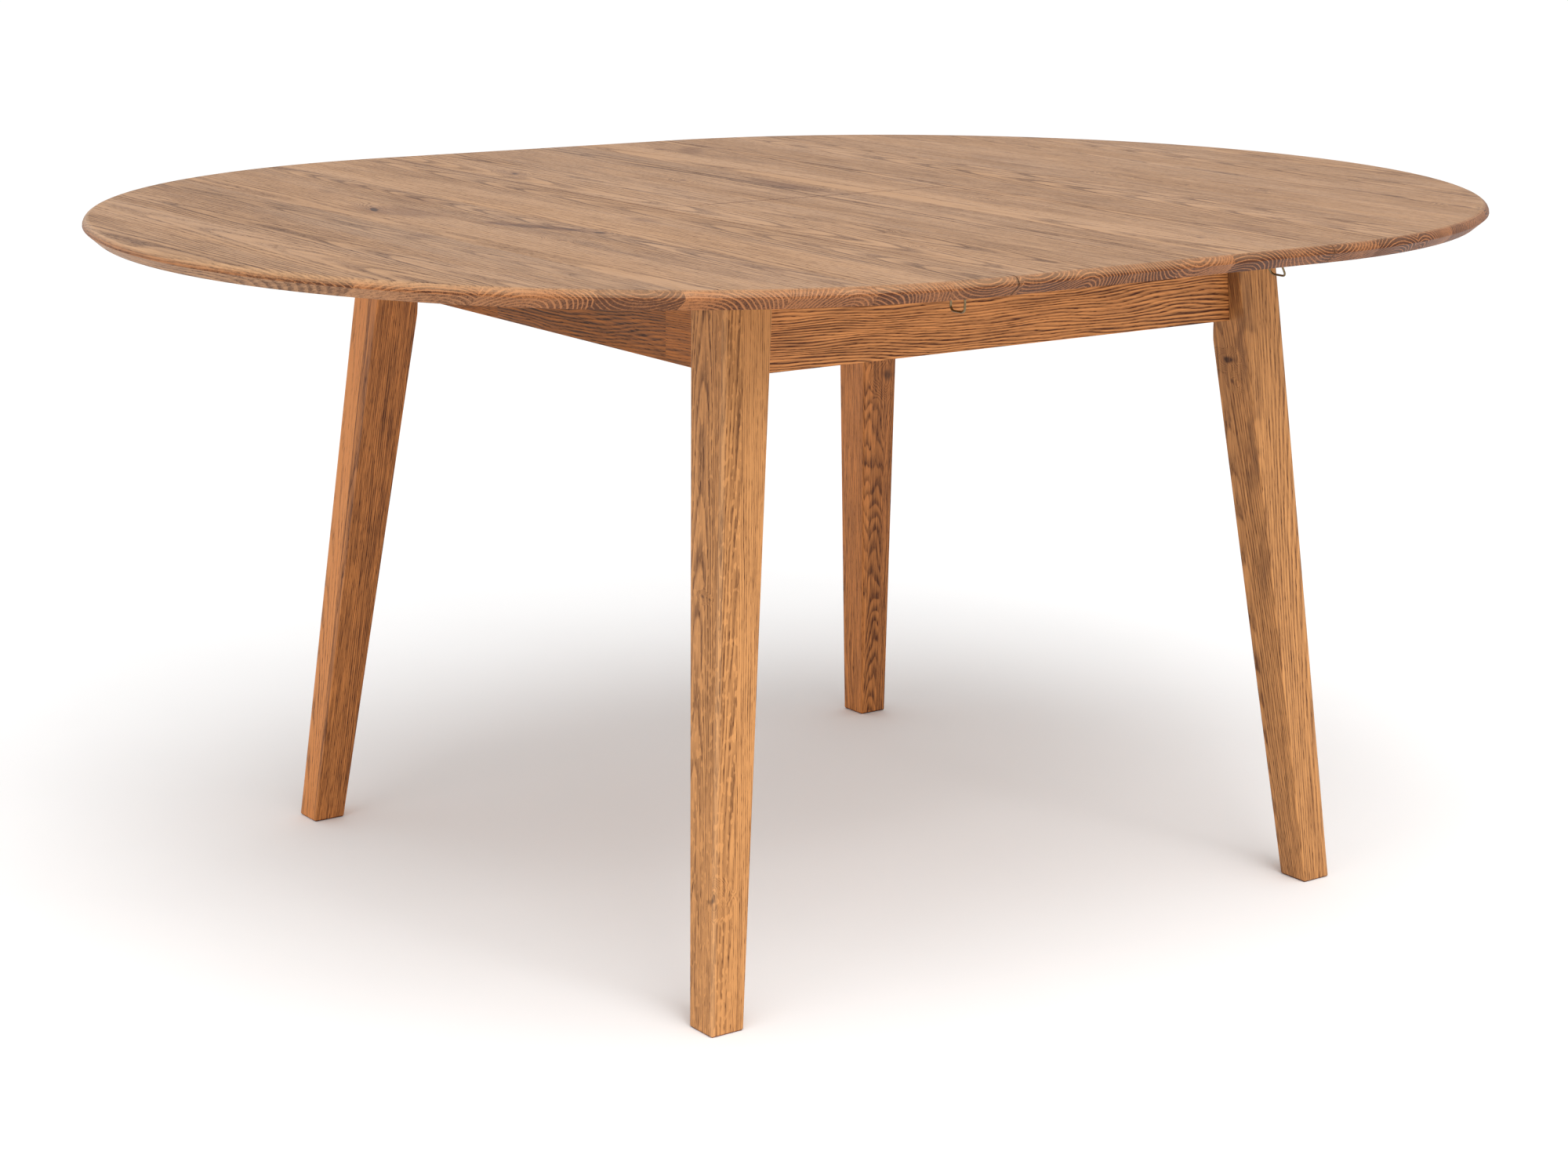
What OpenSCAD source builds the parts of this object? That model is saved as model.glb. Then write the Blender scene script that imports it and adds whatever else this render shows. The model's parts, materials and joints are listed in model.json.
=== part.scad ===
// Round extending table with a folding butterfly leaf, shown open with the leaf in place.
// Origin: on the floor at the centre of the frame. +X is the way the top halves slide, +Y is along
// the seams, +Z is up. Left and right are -X and +X, near and far are -Y and +Y.

/* [Top] */
// Diameter of the closed round top
top_d = 1200; // [1000:10:1300]
// Height of the top surface above the floor
table_h = 755; // [720:1:780]
// Thickness of the top
top_t = 19; // [17:0.5:26]
// Width of the folding leaf, along the slides
leaf_w = 412; // [360:2:450]
// How far the round-over at the top arris comes in from the rim
round_in = 9; // [3:0.5:14]
// Height of the round-over
round_down = 8.5; // [3:0.5:10]
// How far the bevel below comes in from the rim
bevel_in = 12; // [4:0.5:16]
// Gap at each seam of the top
seam_gap = 0.8; // [0.2:0.1:1]

/* [Legs] */
// Half the stance of the outer leg faces at the floor, along X
foot_x = 428; // [400:1:440]
// Half the stance of the outer leg faces at the floor, along Y
foot_y = 430; // [400:1:440]
// Half the spread of the outer leg faces at the top, along X
shoulder_x = 365; // [350:1:390]
// Half the spread of the outer leg faces at the top, along Y
shoulder_y = 355; // [345:1:385]
// Side of the leg at the top
leg_top_w = 58; // [50:1:70]
// Side of the leg at the floor
leg_foot_w = 38.5; // [32:0.5:50]
// Height at which the flat planed on the leg's inner corner runs out
seat_from = 607; // [580:1:630]

/* [Aprons] */
// Height of the aprons
apron_h = 99.5; // [95:0.5:110]
// Thickness of the aprons
apron_t = 22; // [18:1:26]
// Outer face of the near and far aprons
apron_y = 342; // [335:1:345]
// Outer face of the left and right aprons
apron_x = 349; // [340:1:352]

/* [Slides] */
// Width of the bearers inside the frame
bearer_w = 18; // [16:1:18]
// Height of the bearers
bearer_h = 50; // [45:1:55]
// Middle of each bearer, from the table's centre line
bearer_y = 251; // [250:0.5:252]
// Length of the slide channels and bars
slide_len = 420; // [380:10:440]
// Width of the battens under the top halves
batten_w = 22; // [20:1:22]
// Height of the battens under the top halves
batten_h = 36; // [34:1:37]

/* [Bails] */
// Middle of each bail, from the table's centre line
bail_y = 522; // [490:1:530]
// Distance between the two legs of a bail
bail_w = 21; // [20:0.5:26]
// Reach of a bail, from its pivot to the middle of its bar
bail_reach = 20; // [19:0.5:21]
// Diameter of the bail wire
wire_d = 2.2; // [1.8:0.1:2.4]
// Distance of a bail's pivot from its seam
bail_back = 8.5; // [7:0.5:9]
// Swing of the near right bail from hanging, towards its keeper
bail_swing = 30; // [0:5:60]

/* [Hidden] */
$fn = 48;

oak_top = [0.74, 0.60, 0.46];
oak_frame = [0.72, 0.50, 0.29];
steel = [0.72, 0.72, 0.74];
brass = [0.78, 0.64, 0.36];
felt = [0.25, 0.24, 0.22];

// Heights
top_r = top_d / 2;
under_z = table_h - top_t;
strip_t = 1;
frame_z = under_z - strip_t;
apron_z = frame_z - apron_h;
seam_x = leaf_w / 2 + seam_gap / 2;

// A leg's outer and inner faces at height z, along X and along Y
function lean(foot, shoulder, z) = foot + (shoulder - foot) * z / frame_z;
function outer_x(z) = lean(foot_x, shoulder_x, z);
function outer_y(z) = lean(foot_y, shoulder_y, z);
function inner_x(z) = lean(foot_x - leg_foot_w, shoulder_x - leg_top_w, z);
function inner_y(z) = lean(foot_y - leg_foot_w, shoulder_y - leg_top_w, z);

// The flat on a leg's inner corner is the upright plane x + y = seat_sum
seat_sum = inner_x(seat_from) + inner_y(seat_from);
block_t = 32;
block_h = 56;
block_z = apron_z + 4.5;
bolt_r = 4;
bolt_fit = 0.05;
bolt_zs = [block_z + 18, block_z + block_h - 18];
bolt_in_leg = 34;
bolt_out = 14;
washer_r = 10;
washer_t = 2;
nut_af = 13;
nut_t = 6.5;

// Slides, measured outwards from the bearer's face
channel_half_h = 17.5;
channel_depth = 10.5;
steel_t = 1.2;
slide_depth = 12;
lip_h = 13.3;
bar_half_h = 12.3;
bar_flange_h = 15.6;
bar_flange_at = 6.5;
slide_z = frame_z - 19;
slide_end_gap = 83;
screw_from_end = 40;
screw_bite = 10;
screw_gap = 0.1;

// Rails that the folded leaf lies on when it is stowed
rail_x = 150;
rail_w = 40;
rail_t = 15;

// Battens; each one's outer end tapers up towards its tip
batten_z = under_z - batten_h;
batten_tip_x = 630;
batten_tip_z = under_z - 14;
batten_taper_x = 440;
batten_inner_x = 10;
batten_relief = 1;
batten_screw_xs = [240, 330, 420, 590];
notch_gap = 1.5;
leaf_batten_w = 45;
leaf_batten_h = 18;
leaf_batten_y = 430;
leaf_batten_len = 370;

// Bails, plates and keepers: plate on the left of a seam, keeper on the right
wire_r = wire_d / 2;
pivot_z = under_z - 3.1;
barrel_r = 2.6;
barrel_half = 7.5;
pintle_in = 4.5;
pintle_fit = 0.07;
bail_top_bend = 2.5;
bail_low_bend = 5;
plate_t = 1.2;
plate_w = 28;
plate_len = 24;
plate_screw_x = 13;
plate_screw_y = 6;
tab_w = 12;
tab_drop = 7.9;
tab_gap = 1;
keeper_w = 24;
keeper_len = 20;
keeper_screw_x = 14;

// Concealed hinges between the leaf halves
cup_r = 6.5;
cup_len = 20;
cup_z = table_h - 9.5;
cup_fit = 0.05;
tongue_w = 4.4;
tongue_out = 6;
slot_w = 5;
hinge_xs = [-130, 0, 130];

// ---------------------------------------------------------------- helpers

// Puts a piece drawn in the +X +Y corner into another corner
module corner(sx, sy) {
  mirror([sx < 0 ? 1 : 0, 0, 0]) mirror([0, sy < 0 ? 1 : 0, 0]) children();
}

// Extrudes a Y-Z outline along X, from x0 to x1
module along_x(x0, x1) {
  translate([x0, 0, 0]) rotate([90, 0, 90]) linear_extrude(x1 - x0) children();
}

// Extrudes an X-Z outline along Y, from y0 to y1
module along_y(y0, y1) {
  translate([0, y1, 0]) rotate([90, 0, 0]) linear_extrude(y1 - y0) children();
}

// A cylinder along Y, from y0 to y1
module rod_y(r, y0, y1) {
  translate([0, y1, 0]) rotate([90, 0, 0]) cylinder(r = r, h = y1 - y0);
}

// A box given by its lowest and highest corners
module box(low, high) {
  translate(low) cube(high - low);
}

// A countersunk screw that points up from the origin, its head flush with z = 0, or its hole
module wood_screw(len, r = 2, gap = 0) {
  cylinder(r1 = 2 * r + gap, r2 = r + gap, h = 1.5 * r);
  cylinder(r = r + gap, h = len);
}

// A pan-head screw that points up from the origin, its head below z = 0
module pan_screw(r = 1.6, head_r = 3.5, head_t = 1.6) {
  translate([0, 0, -head_t]) cylinder(r = head_r, h = head_t);
  cylinder(r = r, h = steel_t + screw_bite);
}

// The hole for a pan-head screw in the plate that it holds
module pan_hole(r = 1.6) {
  translate([0, 0, -1]) cylinder(r = r + screw_gap, h = steel_t + 2);
}

// ---------------------------------------------------------------- top

// Rim outline from the underside up, at radius r: bevel, widest line, elliptic round-over
function rim(r) = concat(
  [[r - bevel_in, under_z]],
  [for (a = [0:15:90]) [r - round_in + round_in * cos(a), table_h - round_down + round_down * sin(a)]]
);

// A half-round top, on the +X side of its seam
module half_round() {
  translate([seam_x, 0, 0]) rotate([0, 0, -90]) rotate_extrude(angle = 180, $fn = 180)
    polygon(concat([[0, under_z]], rim(top_r), [[0, table_h]]));
}

module top_half(side) {
  color(oak_top) corner(side, 1) half_round();
}

// The far half of the leaf, bored for its hinge cups
module leaf_half(side) {
  color(oak_top) corner(1, side) difference() {
    along_x(-leaf_w / 2 + seam_gap / 2, leaf_w / 2 - seam_gap / 2)
      polygon(concat([[seam_gap / 2, under_z]], rim(top_r), [[seam_gap / 2, table_h]]));
    for (x = hinge_xs) translate([x, 0, cup_z]) rod_y(cup_r + cup_fit, 0, cup_len);
  }
}

module leaf_batten(side) {
  half = leaf_batten_len / 2;
  color(oak_top) corner(1, side) difference() {
    box([-half, leaf_batten_y - leaf_batten_w / 2, under_z - leaf_batten_h],
        [half, leaf_batten_y + leaf_batten_w / 2, under_z]);
    at_leaf_screws() wood_screw(leaf_batten_h + 1, gap = screw_gap);
  }
}

module at_leaf_screws() {
  for (x = [-150, -50, 50, 150]) translate([x, leaf_batten_y, under_z - leaf_batten_h]) children();
}

module wood_screws_leaf(side) {
  color(steel) corner(1, side) at_leaf_screws() wood_screw(leaf_batten_h + 11);
}

// Brass barrels let into the leaf's meeting edge; the near ones are slotted
module hinge_cups_near() {
  color(brass) corner(1, -1)
    for (x = hinge_xs) translate([x, 0, 0]) difference() {
      translate([0, 0, cup_z]) rod_y(cup_r, seam_gap / 2, cup_len);
      box([-slot_w / 2, 0, table_h - 14.7], [slot_w / 2, tongue_out + 1, table_h - 4.5]);
    }
}

// The far barrels carry the tongues that lie in those slots
module hinge_cups_far() {
  color(brass)
    for (x = hinge_xs) translate([x, 0, 0]) {
      translate([0, 0, cup_z]) rod_y(cup_r, seam_gap / 2, cup_len);
      box([-tongue_w / 2, -tongue_out, table_h - 13], [tongue_w / 2, 1, table_h - 6]);
    }
}

// ---------------------------------------------------------------- frame

module leg_solid() {
  difference() {
    intersection() {
      along_y(inner_y(frame_z) - 1, outer_y(0) + 1)
        polygon([[inner_x(0), 0], [outer_x(0), 0],
                 [outer_x(frame_z), frame_z], [inner_x(frame_z), frame_z]]);
      along_x(inner_x(frame_z) - 1, outer_x(0) + 1)
        polygon([[inner_y(0), 0], [outer_y(0), 0],
                 [outer_y(frame_z), frame_z], [inner_y(frame_z), frame_z]]);
    }
    rotate([0, 0, 45]) box([seat_sum / sqrt(2) - 60, -60, seat_from - 20],
                           [seat_sum / sqrt(2), 60, frame_z + 1]);
    on_seat() cylinder(r = bolt_r + bolt_fit, h = bolt_in_leg + 1);
  }
}

// Places a piece at each bolt, its origin on the leg's flat and its +Z into the leg
module on_seat() {
  mid = (seat_sum + inner_face_x() - inner_face_y()) / 2;
  for (z = bolt_zs) translate([mid, seat_sum - mid, z]) rotate([0, 90, 45]) children();
}

function inner_face_x() = apron_x - apron_t;
function inner_face_y() = apron_y - apron_t;

module leg(sx, sy) {
  color(oak_frame) corner(sx, sy) leg_solid();
}

// Near or far apron: its ends are cut to the lean of the legs
module side_apron(side) {
  color(oak_frame) corner(1, side) along_y(inner_face_y(), apron_y)
    polygon([[-inner_x(apron_z), apron_z], [inner_x(apron_z), apron_z],
             [inner_x(frame_z), frame_z], [-inner_x(frame_z), frame_z]]);
}

// Left or right apron, drawn at +X: notched for the battens and bars, mortised for the bearers
module end_apron(side) {
  inner = side < 0 ? slide_face(-1) - slide_depth - batten_w : slide_face(1) + bar_flange_at;
  outer = side < 0 ? slide_face(-1) - bar_flange_at : inner_y(apron_z);
  color(oak_frame) corner(side, 1) difference() {
    along_x(inner_face_x(), apron_x)
      polygon([[-inner_y(apron_z), apron_z], [inner_y(apron_z), apron_z],
               [inner_y(frame_z), frame_z], [-inner_y(frame_z), frame_z]]);
    for (s = [-1, 1]) corner(1, s) {
      box([inner_face_x() - 1, inner - notch_gap, batten_z - notch_gap],
          [apron_x + 1, outer + notch_gap, frame_z + 1]);
      tenon();
    }
  }
}

bearer_z = frame_z - bearer_h;
tenon_len = 12;
tenon_w = 10;
tenon_h = 30;

module tenon() {
  box([inner_face_x() - 1, bearer_y - tenon_w / 2, bearer_z + 6],
      [inner_face_x() + tenon_len, bearer_y + tenon_w / 2, bearer_z + 6 + tenon_h]);
}

module bearer(side) {
  color(oak_frame) corner(1, side) {
    box([-inner_face_x(), bearer_y - bearer_w / 2, bearer_z],
        [inner_face_x(), bearer_y + bearer_w / 2, frame_z]);
    for (s = [-1, 1]) corner(s, 1) tenon();
  }
}

module leaf_rails() {
  color(oak_frame) for (s = [-1, 1])
    translate([s * rail_x - rail_w / 2, -inner_face_y(), apron_z + 4.5])
      cube([rail_w, 2 * inner_face_y(), rail_t]);
}

// Thin strips that the top slides and rests on
module glide_strips() {
  color(felt) for (s = [-1, 1]) {
    corner(1, s) box([-290, bearer_y - 8, frame_z], [290, bearer_y + 8, under_z]);
    corner(1, s) box([-280, apron_y - 17, frame_z], [280, apron_y - 5, under_z]);
    corner(s, 1) box([apron_x - 17, -120, frame_z], [apron_x - 5, 120, under_z]);
  }
}

module corner_block(sx, sy) {
  back = seat_sum - block_t * sqrt(2);
  color(oak_frame) corner(sx, sy) difference() {
    translate([0, 0, block_z]) linear_extrude(block_h)
      polygon([[seat_sum - inner_face_y(), inner_face_y()],
               [inner_face_x(), seat_sum - inner_face_x()],
               [inner_face_x(), back - inner_face_x()],
               [back - inner_face_y(), inner_face_y()]]);
    on_seat() translate([0, 0, -block_t - 1]) cylinder(r = bolt_r + bolt_fit, h = block_t + 2);
    at_block_screws() wood_screw(block_screw_in + 1, 1.8, screw_gap);
  }
}

// Two screws from a block into each of its aprons
block_screw_in = 14;

module at_block_screws() {
  back = seat_sum - block_t * sqrt(2);
  for (z = [block_z + 10, block_z + block_h - 10]) {
    translate([back - inner_face_y() + block_screw_in, inner_face_y() - block_screw_in, z])
      rotate([-90, 0, 0]) children();
    translate([inner_face_x() - block_screw_in, back - inner_face_x() + block_screw_in, z])
      rotate([0, 90, 0]) children();
  }
}

module each_corner() {
  for (sx = [-1, 1]) for (sy = [-1, 1]) corner(sx, sy) children();
}

module leg_bolts() {
  color(steel) each_corner() on_seat() translate([0, 0, -block_t - bolt_out])
    cylinder(r = bolt_r, h = block_t + bolt_out + bolt_in_leg);
}

module leg_washers() {
  color(steel) each_corner() on_seat() translate([0, 0, -block_t - washer_t]) difference() {
    cylinder(r = washer_r, h = washer_t);
    translate([0, 0, -1]) cylinder(r = bolt_r + bolt_fit, h = washer_t + 2);
  }
}

module leg_nuts() {
  color(steel) each_corner() on_seat() translate([0, 0, -block_t - washer_t - nut_t]) difference() {
    cylinder(d = nut_af / cos(30), h = nut_t, $fn = 6);
    translate([0, 0, -1]) cylinder(r = bolt_r + bolt_fit, h = nut_t + 2);
  }
}

module corner_block_screws() {
  color(steel) each_corner() at_block_screws() wood_screw(block_screw_in + 14, 1.8);
}

// ---------------------------------------------------------------- slides

// The bearer's face that a side's slides are on: the inner one for the left half
function slide_face(side) = bearer_y + side * bearer_w / 2;

// Places a slide outline, drawn outwards from the bearer's face, at the +Y bearer
module at_slide(side) {
  translate([slide_face(side), slide_z]) mirror([side < 0 ? 1 : 0, 0]) children();
}

module both_edges() {
  for (s = [0, 1]) mirror([0, s]) children();
}

module rect(low, high) {
  translate(low) square(high - low);
}

module channel_outline() {
  both_edges() {
    rect([0, 0], [steel_t, channel_half_h]);
    rect([0, channel_half_h - steel_t], [channel_depth, channel_half_h]);
    rect([channel_depth - steel_t, lip_h], [channel_depth, channel_half_h]);
  }
}

module bar_outline() {
  both_edges() {
    rect([slide_depth - steel_t, 0], [slide_depth, bar_half_h]);
    rect([bar_flange_at, bar_half_h - steel_t], [slide_depth, bar_half_h]);
    rect([bar_flange_at, bar_half_h - steel_t], [bar_flange_at + steel_t, bar_flange_h]);
  }
}

// Outer end of a channel; a bar stands out from it by half the leaf's width when the top is open
channel_x1 = inner_face_x() - slide_end_gap;
bar_x1 = channel_x1 + leaf_w / 2;

// Places what is drawn at each screw of a slide member that ends at x1, its web's face at y1
module at_slide_screws(x1, y1, turn) {
  for (i = [0:2]) translate([x1 - screw_from_end - i * (slide_len / 2 - screw_from_end), y1, slide_z])
    rotate([turn * 90, 0, 0]) children();
}

module at_channel_screws(side) {
  at_slide_screws(channel_x1, slide_face(side) + side * steel_t, side) children();
}

module at_bar_screws(side) {
  at_slide_screws(bar_x1, slide_face(side) + side * (slide_depth - steel_t), -side) children();
}

module channel(side, y) {
  color(steel) corner(side, y) difference() {
    along_x(channel_x1 - slide_len, channel_x1) at_slide(side) channel_outline();
    at_channel_screws(side) pan_hole();
  }
}

module slide_bar(side, y) {
  color(steel) corner(side, y) difference() {
    along_x(bar_x1 - slide_len, bar_x1) at_slide(side) bar_outline();
    at_bar_screws(side) pan_hole();
  }
}

module channel_screws() {
  color(steel) for (side = [-1, 1]) for (y = [-1, 1]) corner(side, y)
    at_channel_screws(side) pan_screw();
}

// ---------------------------------------------------------------- battens and screws

// Middle of a batten, from the table's centre line
function batten_y(side) = slide_face(side) + side * (slide_depth + batten_w / 2);

// Underside of a batten at x
function batten_low(x) = batten_z
  + max(0, x - batten_taper_x) / (batten_tip_x - batten_taper_x) * (batten_tip_z - batten_z);

// A batten runs on past its half, under the leaf, where its top is relieved
module batten(side, y) {
  relief_z = under_z - batten_relief;
  color(oak_frame) corner(side, y) difference() {
    along_y(batten_y(side) - batten_w / 2, batten_y(side) + batten_w / 2)
      polygon([[batten_inner_x, batten_z], [batten_taper_x, batten_z], [batten_tip_x, batten_tip_z],
               [batten_tip_x, under_z], [seam_x, under_z], [seam_x, relief_z],
               [batten_inner_x, relief_z]]);
    at_batten_screws(side) {
      wood_screw(batten_h, 2.2, screw_gap);
      translate([0, 0, -4]) cylinder(r = 4.4 + screw_gap, h = 4);
    }
  }
}

// The heads are sunk 2 mm into the batten
module at_batten_screws(side) {
  for (x = batten_screw_xs) translate([x, batten_y(side), batten_low(x) + 2]) children();
}

module wood_screws(side) {
  color(steel) for (y = [-1, 1]) corner(side, y) {
    for (x = batten_screw_xs) translate([x, batten_y(side), batten_low(x) + 2])
      wood_screw(under_z - batten_low(x) + 9, 2.2);
    at_bar_screws(side) pan_screw();
  }
}

// ---------------------------------------------------------------- bails

// Places what is drawn about a bail's pivot line at one end of either seam
module at_bail(side, y) {
  translate([side * leaf_w / 2 - bail_back, y * bail_y, 0]) children();
}

module at_plate_screws(x) {
  for (s = [-1, 1]) translate([x, s * plate_screw_y, under_z - plate_t]) children();
}

// Plate with a rolled barrel along the seam
module bail_plate(side, y) {
  color(brass) at_bail(side, y) difference() {
    union() {
      box([-plate_len, -plate_w / 2, under_z - plate_t], [0, plate_w / 2, under_z]);
      box([-1, -barrel_half, under_z - plate_t], [1, barrel_half, under_z - 0.2]);
      translate([0, 0, pivot_z]) rod_y(barrel_r, -barrel_half, barrel_half);
    }
    translate([0, 0, pivot_z]) rod_y(wire_r + pintle_fit, -barrel_half - 1, barrel_half + 1);
    at_plate_screws(-plate_screw_x) pan_hole();
  }
}

// Keeper: a plate with a tab that a bail's bar drops over
tab_x = bail_reach - wire_r - tab_gap - steel_t;

module keeper(side, y) {
  color(brass) at_bail(side, y) {
    difference() {
      box([tab_x, -keeper_w / 2, under_z - plate_t], [tab_x + keeper_len, keeper_w / 2, under_z]);
      at_plate_screws(tab_x + keeper_screw_x) pan_hole();
    }
    box([tab_x, -tab_w / 2, under_z - tab_drop],
        [tab_x + steel_t, tab_w / 2, under_z - plate_t]);
  }
}

module plate_screws(side, y) {
  color(brass) at_bail(side, y) at_plate_screws(-plate_screw_x) pan_screw();
}

module keeper_screws(side, y) {
  color(brass) at_bail(side, y) at_plate_screws(tab_x + keeper_screw_x) pan_screw();
}

module catch_screws_leaf(y) {
  plate_screws(1, y);
  keeper_screws(-1, y);
}

// A quarter bend of wire in the Y-Z plane, from +Y round to +Z about its centre
module bend(radius) {
  rotate([90, 0, 90]) rotate_extrude(angle = 90, $fn = 48) translate([radius, 0])
    circle(r = wire_r, $fn = 24);
}

// One half of a bail: pintle, bend, leg, bend and half the bar
module bail_side() {
  half = bail_w / 2;
  rod_y(wire_r, barrel_half - pintle_in, half - bail_top_bend);
  translate([0, half - bail_top_bend, -bail_top_bend]) bend(bail_top_bend);
  translate([0, half, -bail_reach + bail_low_bend])
    cylinder(r = wire_r, h = bail_reach - bail_low_bend - bail_top_bend);
  translate([0, half - bail_low_bend, -bail_reach + bail_low_bend]) rotate([-90, 0, 0])
    bend(bail_low_bend);
  translate([0, 0, -bail_reach]) rod_y(wire_r, 0, half - bail_low_bend);
}

module bail(side, y, swing = 0) {
  color(steel) at_bail(side, y) translate([0, 0, pivot_z]) rotate([0, -swing, 0])
    for (s = [1, -1]) corner(1, s) bail_side();
}

// A piece at both ends of a seam
module both_ends() {
  for (s = [1, -1]) corner(1, s) children();
}

// ---------------------------------------------------------------- nodes

leg(-1, -1);  // leg_near_left
leg(1, -1);  // leg_near_right
leg(-1, 1);  // leg_far_left
leg(1, 1);  // leg_far_right
side_apron(-1);  // apron_near
side_apron(1);  // apron_far
end_apron(-1);  // apron_left
end_apron(1);  // apron_right
corner_block(-1, -1);  // corner_block_near_left
corner_block(1, -1);  // corner_block_near_right
corner_block(-1, 1);  // corner_block_far_left
corner_block(1, 1);  // corner_block_far_right
leg_bolts();
leg_washers();
leg_nuts();
corner_block_screws();
bearer(-1);  // bearer_near
bearer(1);  // bearer_far
leaf_rails();
glide_strips();
channel(-1, -1);  // channel_left_near
channel(-1, 1);  // channel_left_far
channel(1, -1);  // channel_right_near
channel(1, 1);  // channel_right_far
channel_screws();
top_half(-1);  // top_half_left
batten(-1, -1);  // batten_left_near
batten(-1, 1);  // batten_left_far
slide_bar(-1, -1);  // slide_bar_left_near
slide_bar(-1, 1);  // slide_bar_left_far
wood_screws(-1);  // wood_screws_left
both_ends() bail_plate(-1, 1);  // bail_plates_left
both_ends() plate_screws(-1, 1);  // catch_screws_left
top_half(1);  // top_half_right
batten(1, -1);  // batten_right_near
batten(1, 1);  // batten_right_far
slide_bar(1, -1);  // slide_bar_right_near
slide_bar(1, 1);  // slide_bar_right_far
wood_screws(1);  // wood_screws_right
both_ends() keeper(1, 1);  // keepers_right
both_ends() keeper_screws(1, 1);  // catch_screws_right
leaf_half(-1);  // leaf_near
leaf_batten(-1);  // leaf_batten_near
wood_screws_leaf(-1);  // wood_screws_leaf_near
bail_plate(1, -1);  // bail_plate_leaf_near
keeper(-1, -1);  // keeper_leaf_near
catch_screws_leaf(-1);  // catch_screws_leaf_near
hinge_cups_near();
leaf_half(1);  // leaf_far
leaf_batten(1);  // leaf_batten_far
wood_screws_leaf(1);  // wood_screws_leaf_far
bail_plate(1, 1);  // bail_plate_leaf_far
keeper(-1, 1);  // keeper_leaf_far
catch_screws_leaf(1);  // catch_screws_leaf_far
hinge_cups_far();
bail(-1, -1);  // bail_left_near
bail(-1, 1);  // bail_left_far
bail(1, -1, bail_swing);  // bail_right_near
bail(1, 1);  // bail_right_far
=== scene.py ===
import json
import math
import random
import bpy
from mathutils import Matrix, Vector

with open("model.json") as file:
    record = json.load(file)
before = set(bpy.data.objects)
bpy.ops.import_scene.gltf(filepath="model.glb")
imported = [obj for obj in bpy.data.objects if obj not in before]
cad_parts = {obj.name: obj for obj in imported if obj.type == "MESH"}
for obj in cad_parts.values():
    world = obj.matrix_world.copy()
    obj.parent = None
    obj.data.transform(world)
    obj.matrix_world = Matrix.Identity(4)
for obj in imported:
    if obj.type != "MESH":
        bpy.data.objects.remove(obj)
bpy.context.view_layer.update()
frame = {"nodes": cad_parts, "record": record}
record = frame["record"]
NODES = frame["nodes"]


# ------------------------------------------------------------------ node building

def linear(rgb):
    """A colour given as it looks on screen, 0 to 255, as Blender's linear values."""
    return tuple((c / 255 / 12.92) if c < 10.3 else ((c / 255 + 0.055) / 1.055) ** 2.4 for c in rgb) + (1,)


class Build:
    """Adds nodes to one tree. Each call returns a socket, and takes sockets or plain values."""

    def __init__(self, tree):
        self.tree = tree

    def put(self, kind, values=(), **props):
        node = self.tree.nodes.new("ShaderNode" + kind)
        for key, value in props.items():
            setattr(node, key, value)
        pairs = values.items() if isinstance(values, dict) else enumerate(values)
        for key, value in pairs:
            if isinstance(value, bpy.types.NodeSocket):
                self.tree.links.new(value, node.inputs[key])
            elif value is not None:
                node.inputs[key].default_value = value
        return node

    def math(self, op, a, b=None, c=None, clamp=False):
        return self.put("Math", (a, b, c), operation=op, use_clamp=clamp).outputs[0]

    def vec(self, op, a, b=None):
        node = self.put("VectorMath", (a, b), operation=op)
        return node.outputs["Value" if op in ("LENGTH", "DOT_PRODUCT") else "Vector"]

    def join(self, x, y, z):
        return self.put("CombineXYZ", (x, y, z)).outputs[0]

    def split(self, vector):
        return self.put("SeparateXYZ", (vector,)).outputs

    def noise(self, vector, scale, detail=2.0, rough=0.5):
        values = {"Vector": vector, "Scale": scale, "Detail": detail, "Roughness": rough}
        return self.put("TexNoise", values).outputs["Fac"]

    def span(self, value, a, b, c=0.0, d=1.0, smooth=True):
        """Maps a..b to c..d, held at the ends."""
        kind = "SMOOTHSTEP" if smooth else "LINEAR"
        return self.put("MapRange", (value, a, b, c, d), interpolation_type=kind).outputs[0]

    def steps(self, value, low, high, stops):
        """A stepped ramp over low..high with stops [(place, grey or colour)]."""
        node = self.put("ValToRGB", (self.span(value, low, high, smooth=False),))
        ramp = node.color_ramp
        ramp.interpolation = "CONSTANT"
        while len(ramp.elements) < len(stops):
            ramp.elements.new(0.5)
        for element, (place, value) in zip(ramp.elements, stops):
            element.position = (place - low) / (high - low)
            element.color = (value, value, value, 1) if isinstance(value, (int, float)) else value
        return node.outputs[0]

    def mix(self, fac, a, b, blend="MIX"):
        node = self.put("Mix", {"Factor": fac}, data_type="RGBA", blend_type=blend, clamp_factor=True)
        for key, value in ((6, a), (7, b)):
            if isinstance(value, bpy.types.NodeSocket):
                self.tree.links.new(value, node.inputs[key])
            else:
                node.inputs[key].default_value = value
        return node.outputs[2]


def group(name, inputs, outputs):
    """An empty node group with (name, type) sockets."""
    tree = bpy.data.node_groups.new(name, "ShaderNodeTree")
    for key, kind in inputs:
        tree.interface.new_socket(key, in_out="INPUT", socket_type="NodeSocket" + kind)
    for key, kind in outputs:
        tree.interface.new_socket(key, in_out="OUTPUT", socket_type="NodeSocket" + kind)
    b = Build(tree)
    return tree, b, tree.nodes.new("NodeGroupInput").outputs, tree.nodes.new("NodeGroupOutput").inputs


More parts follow.
